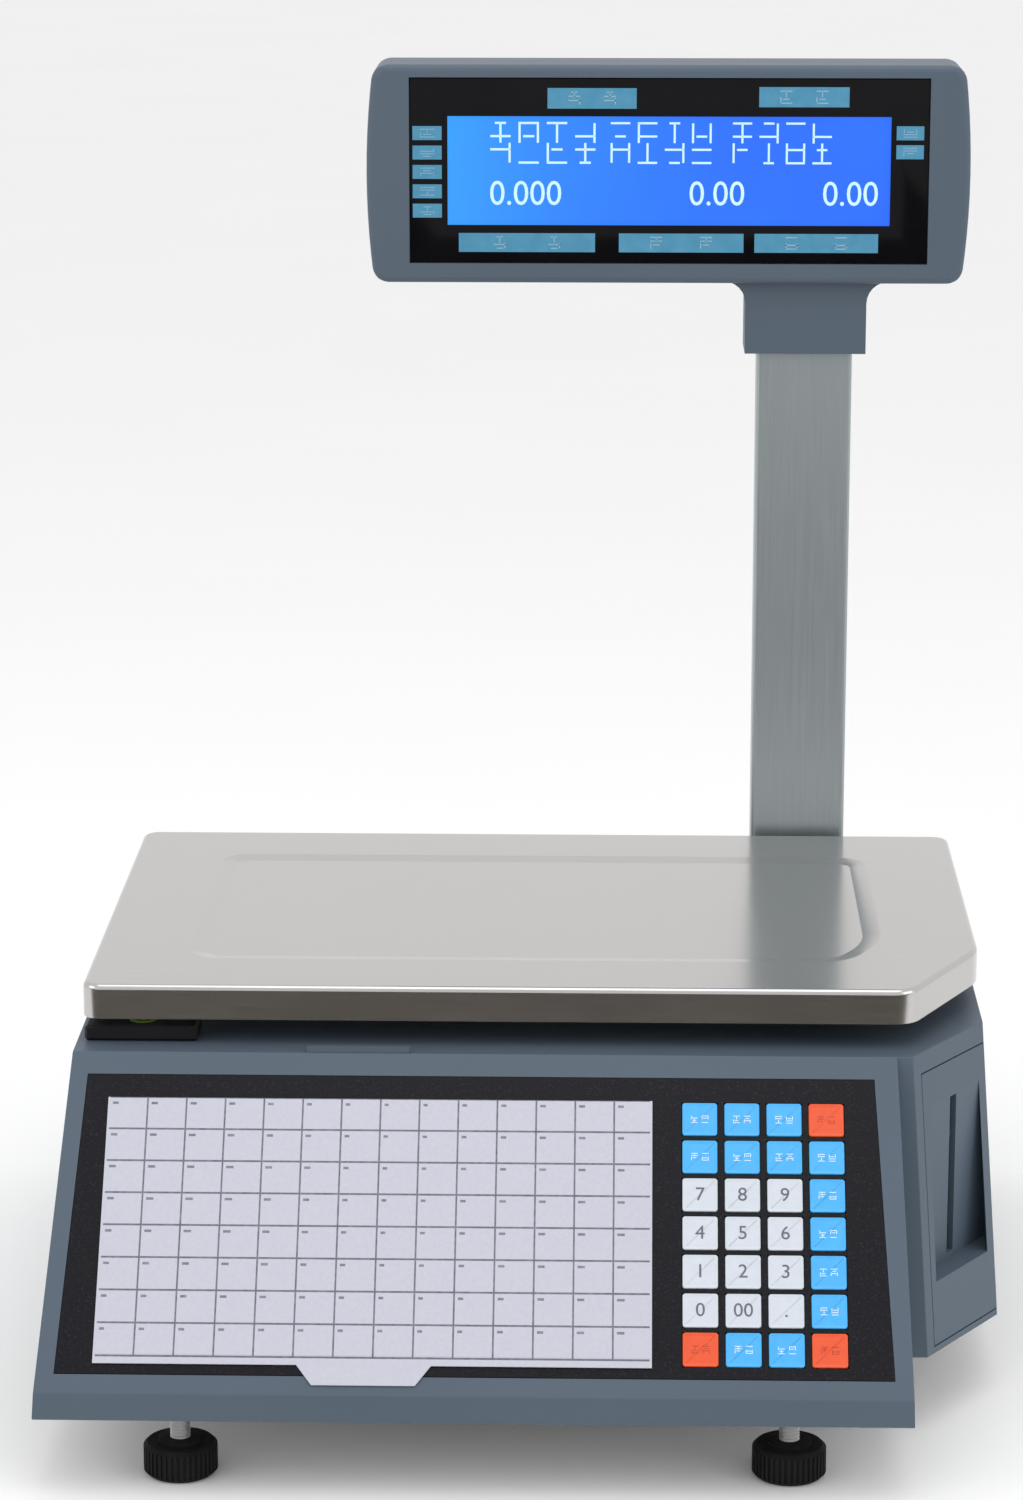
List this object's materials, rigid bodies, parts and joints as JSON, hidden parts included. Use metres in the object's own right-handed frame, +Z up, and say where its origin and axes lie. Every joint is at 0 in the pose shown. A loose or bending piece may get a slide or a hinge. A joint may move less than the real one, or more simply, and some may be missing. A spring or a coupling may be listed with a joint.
{
  "type": "label printing scale",
  "caption": "Counter weighing scale with a sloped keyboard, steel platter, side label printer behind a hinged door, and a two-sided display on a pole.",
  "frame": {"origin": "on the counter, under the middle of the object's bounding box", "axes": "+Z up, -Y towards the person at the keyboard, +X to that person's right (printer side)"},
  "size_m": [0.3764, 0.382, 0.5124],
  "materials": {
    "slate_plastic": "fine texture, satin",
    "zinc_sheet": "zinc plated",
    "black_film": "fine speckle, satin",
    "card": "matt, thin printed grid",
    "board": "solder mask",
    "aluminium": "as machined",
    "stainless": "satin, fine brushing",
    "anodised": "grey anodised",
    "black_plastic": "matt",
    "rubber": "matt",
    "paper": "matt",
    "pane": "gloss",
    "lcd": "lit blue",
    "white_key": "satin",
    "blue_key": "satin",
    "orange_key": "satin"
  },
  "bodies": {
    "housing": {"upper_housing": "slate_plastic", "display_front_shell": "slate_plastic", "display_rear_shell": "slate_plastic", "base_pan": "zinc_sheet", "printer_chassis": "zinc_sheet", "power_supply": "zinc_sheet", "keypad_overlay": "black_film", "preset_key_card": "card", "keypad_board": "board", "main_board": "board", "load_cell": "aluminium", "load_cell_block": "aluminium", "display_pole": "anodised", "bubble_level": "black_plastic", "mains_inlet": "black_plastic", "roll_spindle": "black_plastic", "front_window": "pane", "rear_window": "pane", "front_lcd": "lcd", "rear_lcd": "lcd"},
    "weigh_frame": {"platter_spider": "aluminium"},
    "platter": {"platter": "stainless"},
    "printer_door": {"printer_door": "slate_plastic"},
    "print_head": {"print_head": "aluminium"},
    "label_roll": {"label_roll": "paper"},
    "platen": {"platen_roller": "rubber"},
    "liner_spool": {"liner_spool": "black_plastic"},
    "power_switch": {"power_switch": "black_plastic"},
    "foot_front_left": {"foot_front_left": "rubber"},
    "foot_front_right": {"foot_front_right": "rubber"},
    "foot_rear_left": {"foot_rear_left": "rubber"},
    "foot_rear_right": {"foot_rear_right": "rubber"},
    "key_f1": {"key_f1": "blue_key"},
    "key_f2": {"key_f2": "blue_key"},
    "key_f3": {"key_f3": "blue_key"},
    "key_clear": {"key_clear": "orange_key"},
    "key_f4": {"key_f4": "blue_key"},
    "key_f5": {"key_f5": "blue_key"},
    "key_f6": {"key_f6": "blue_key"},
    "key_f7": {"key_f7": "blue_key"},
    "key_7": {"key_7": "white_key"},
    "key_8": {"key_8": "white_key"},
    "key_9": {"key_9": "white_key"},
    "key_f8": {"key_f8": "blue_key"},
    "key_4": {"key_4": "white_key"},
    "key_5": {"key_5": "white_key"},
    "key_6": {"key_6": "white_key"},
    "key_f9": {"key_f9": "blue_key"},
    "key_1": {"key_1": "white_key"},
    "key_2": {"key_2": "white_key"},
    "key_3": {"key_3": "white_key"},
    "key_f10": {"key_f10": "blue_key"},
    "key_0": {"key_0": "white_key"},
    "key_00": {"key_00": "white_key"},
    "key_point": {"key_point": "white_key"},
    "key_f11": {"key_f11": "blue_key"},
    "key_feed": {"key_feed": "orange_key"},
    "key_f12": {"key_f12": "blue_key"},
    "key_f13": {"key_f13": "blue_key"},
    "key_print": {"key_print": "orange_key"}
  },
  "joints": [
    {"name": "weigh", "type": "slide", "parent": "housing", "child": "weigh_frame", "axis": [0, 0, 1], "range_m": [-0.0004, 0], "stiffness_N_per_m": 150000, "springref_m": 0.0002},
    {"name": "platter_lift_off", "type": "slide", "parent": "weigh_frame", "child": "platter", "axis": [0, 0, 1], "range_m": [0, 0.05]},
    {"name": "door_hinge", "type": "hinge", "parent": "housing", "child": "printer_door", "pos_m": [0.18605, 0.09, 0.084], "axis": [0, 0, 1], "range_deg": [0, 100]},
    {"name": "print_head_pivot", "type": "hinge", "parent": "housing", "child": "print_head", "pos_m": [0.14286, -0.05201, 0.094], "axis": [0, 0, 1], "range_deg": [0, 20]},
    {"name": "label_feed", "type": "hinge", "parent": "housing", "child": "label_roll", "pos_m": [0.13206, 0.026, 0.094], "axis": [0, 0, 1], "continuous": true},
    {"name": "platen_turn", "type": "hinge", "parent": "housing", "child": "platen", "pos_m": [0.14541, -0.07012, 0.094], "axis": [0, 0, 1], "continuous": true},
    {"name": "spool_turn", "type": "hinge", "parent": "housing", "child": "liner_spool", "pos_m": [0.11006, -0.0455, 0.094], "axis": [0, 0, 1], "continuous": true},
    {"name": "power_rocker", "type": "hinge", "parent": "housing", "child": "power_switch", "pos_m": [-0.12195, 0.18341, 0.063], "axis": [1, 0, 0], "range_deg": [-16, 0]},
    {"name": "foot_screw_front_left", "type": "slide", "parent": "housing", "child": "foot_front_left", "axis": [0, 0, 1], "range_m": [-0.01, 0]},
    {"name": "foot_screw_front_right", "type": "slide", "parent": "housing", "child": "foot_front_right", "axis": [0, 0, 1], "range_m": [-0.01, 0]},
    {"name": "foot_screw_rear_left", "type": "slide", "parent": "housing", "child": "foot_rear_left", "axis": [0, 0, 1], "range_m": [-0.01, 0]},
    {"name": "foot_screw_rear_right", "type": "slide", "parent": "housing", "child": "foot_rear_right", "axis": [0, 0, 1], "range_m": [-0.01, 0]},
    {"name": "press_f1", "type": "slide", "parent": "housing", "child": "key_f1", "axis": [0, -0.7583, 0.652], "range_m": [-0.0006, 0], "stiffness_N_per_m": 1500, "springref_m": 0.0005},
    {"name": "press_f2", "type": "slide", "parent": "housing", "child": "key_f2", "axis": [0, -0.7583, 0.652], "range_m": [-0.0006, 0], "stiffness_N_per_m": 1500, "springref_m": 0.0005},
    {"name": "press_f3", "type": "slide", "parent": "housing", "child": "key_f3", "axis": [0, -0.7583, 0.652], "range_m": [-0.0006, 0], "stiffness_N_per_m": 1500, "springref_m": 0.0005},
    {"name": "press_clear", "type": "slide", "parent": "housing", "child": "key_clear", "axis": [0, -0.7583, 0.652], "range_m": [-0.0006, 0], "stiffness_N_per_m": 1500, "springref_m": 0.0005},
    {"name": "press_f4", "type": "slide", "parent": "housing", "child": "key_f4", "axis": [0, -0.7583, 0.652], "range_m": [-0.0006, 0], "stiffness_N_per_m": 1500, "springref_m": 0.0005},
    {"name": "press_f5", "type": "slide", "parent": "housing", "child": "key_f5", "axis": [0, -0.7583, 0.652], "range_m": [-0.0006, 0], "stiffness_N_per_m": 1500, "springref_m": 0.0005},
    {"name": "press_f6", "type": "slide", "parent": "housing", "child": "key_f6", "axis": [0, -0.7583, 0.652], "range_m": [-0.0006, 0], "stiffness_N_per_m": 1500, "springref_m": 0.0005},
    {"name": "press_f7", "type": "slide", "parent": "housing", "child": "key_f7", "axis": [0, -0.7583, 0.652], "range_m": [-0.0006, 0], "stiffness_N_per_m": 1500, "springref_m": 0.0005},
    {"name": "press_7", "type": "slide", "parent": "housing", "child": "key_7", "axis": [0, -0.7583, 0.652], "range_m": [-0.0006, 0], "stiffness_N_per_m": 1500, "springref_m": 0.0005},
    {"name": "press_8", "type": "slide", "parent": "housing", "child": "key_8", "axis": [0, -0.7583, 0.652], "range_m": [-0.0006, 0], "stiffness_N_per_m": 1500, "springref_m": 0.0005},
    {"name": "press_9", "type": "slide", "parent": "housing", "child": "key_9", "axis": [0, -0.7583, 0.652], "range_m": [-0.0006, 0], "stiffness_N_per_m": 1500, "springref_m": 0.0005},
    {"name": "press_f8", "type": "slide", "parent": "housing", "child": "key_f8", "axis": [0, -0.7583, 0.652], "range_m": [-0.0006, 0], "stiffness_N_per_m": 1500, "springref_m": 0.0005},
    {"name": "press_4", "type": "slide", "parent": "housing", "child": "key_4", "axis": [0, -0.7583, 0.652], "range_m": [-0.0006, 0], "stiffness_N_per_m": 1500, "springref_m": 0.0005},
    {"name": "press_5", "type": "slide", "parent": "housing", "child": "key_5", "axis": [0, -0.7583, 0.652], "range_m": [-0.0006, 0], "stiffness_N_per_m": 1500, "springref_m": 0.0005},
    {"name": "press_6", "type": "slide", "parent": "housing", "child": "key_6", "axis": [0, -0.7583, 0.652], "range_m": [-0.0006, 0], "stiffness_N_per_m": 1500, "springref_m": 0.0005},
    {"name": "press_f9", "type": "slide", "parent": "housing", "child": "key_f9", "axis": [0, -0.7583, 0.652], "range_m": [-0.0006, 0], "stiffness_N_per_m": 1500, "springref_m": 0.0005},
    {"name": "press_1", "type": "slide", "parent": "housing", "child": "key_1", "axis": [0, -0.7583, 0.652], "range_m": [-0.0006, 0], "stiffness_N_per_m": 1500, "springref_m": 0.0005},
    {"name": "press_2", "type": "slide", "parent": "housing", "child": "key_2", "axis": [0, -0.7583, 0.652], "range_m": [-0.0006, 0], "stiffness_N_per_m": 1500, "springref_m": 0.0005},
    {"name": "press_3", "type": "slide", "parent": "housing", "child": "key_3", "axis": [0, -0.7583, 0.652], "range_m": [-0.0006, 0], "stiffness_N_per_m": 1500, "springref_m": 0.0005},
    {"name": "press_f10", "type": "slide", "parent": "housing", "child": "key_f10", "axis": [0, -0.7583, 0.652], "range_m": [-0.0006, 0], "stiffness_N_per_m": 1500, "springref_m": 0.0005},
    {"name": "press_0", "type": "slide", "parent": "housing", "child": "key_0", "axis": [0, -0.7583, 0.652], "range_m": [-0.0006, 0], "stiffness_N_per_m": 1500, "springref_m": 0.0005},
    {"name": "press_00", "type": "slide", "parent": "housing", "child": "key_00", "axis": [0, -0.7583, 0.652], "range_m": [-0.0006, 0], "stiffness_N_per_m": 1500, "springref_m": 0.0005},
    {"name": "press_point", "type": "slide", "parent": "housing", "child": "key_point", "axis": [0, -0.7583, 0.652], "range_m": [-0.0006, 0], "stiffness_N_per_m": 1500, "springref_m": 0.0005},
    {"name": "press_f11", "type": "slide", "parent": "housing", "child": "key_f11", "axis": [0, -0.7583, 0.652], "range_m": [-0.0006, 0], "stiffness_N_per_m": 1500, "springref_m": 0.0005},
    {"name": "press_feed", "type": "slide", "parent": "housing", "child": "key_feed", "axis": [0, -0.7583, 0.652], "range_m": [-0.0006, 0], "stiffness_N_per_m": 1500, "springref_m": 0.0005},
    {"name": "press_f12", "type": "slide", "parent": "housing", "child": "key_f12", "axis": [0, -0.7583, 0.652], "range_m": [-0.0006, 0], "stiffness_N_per_m": 1500, "springref_m": 0.0005},
    {"name": "press_f13", "type": "slide", "parent": "housing", "child": "key_f13", "axis": [0, -0.7583, 0.652], "range_m": [-0.0006, 0], "stiffness_N_per_m": 1500, "springref_m": 0.0005},
    {"name": "press_print", "type": "slide", "parent": "housing", "child": "key_print", "axis": [0, -0.7583, 0.652], "range_m": [-0.0006, 0], "stiffness_N_per_m": 1500, "springref_m": 0.0005}
  ],
  "couplings": [
    {"joint": "platen_turn", "follows": "label_feed", "ratio": 5.7143},
    {"joint": "spool_turn", "follows": "label_feed", "ratio": 3.3333}
  ]
}
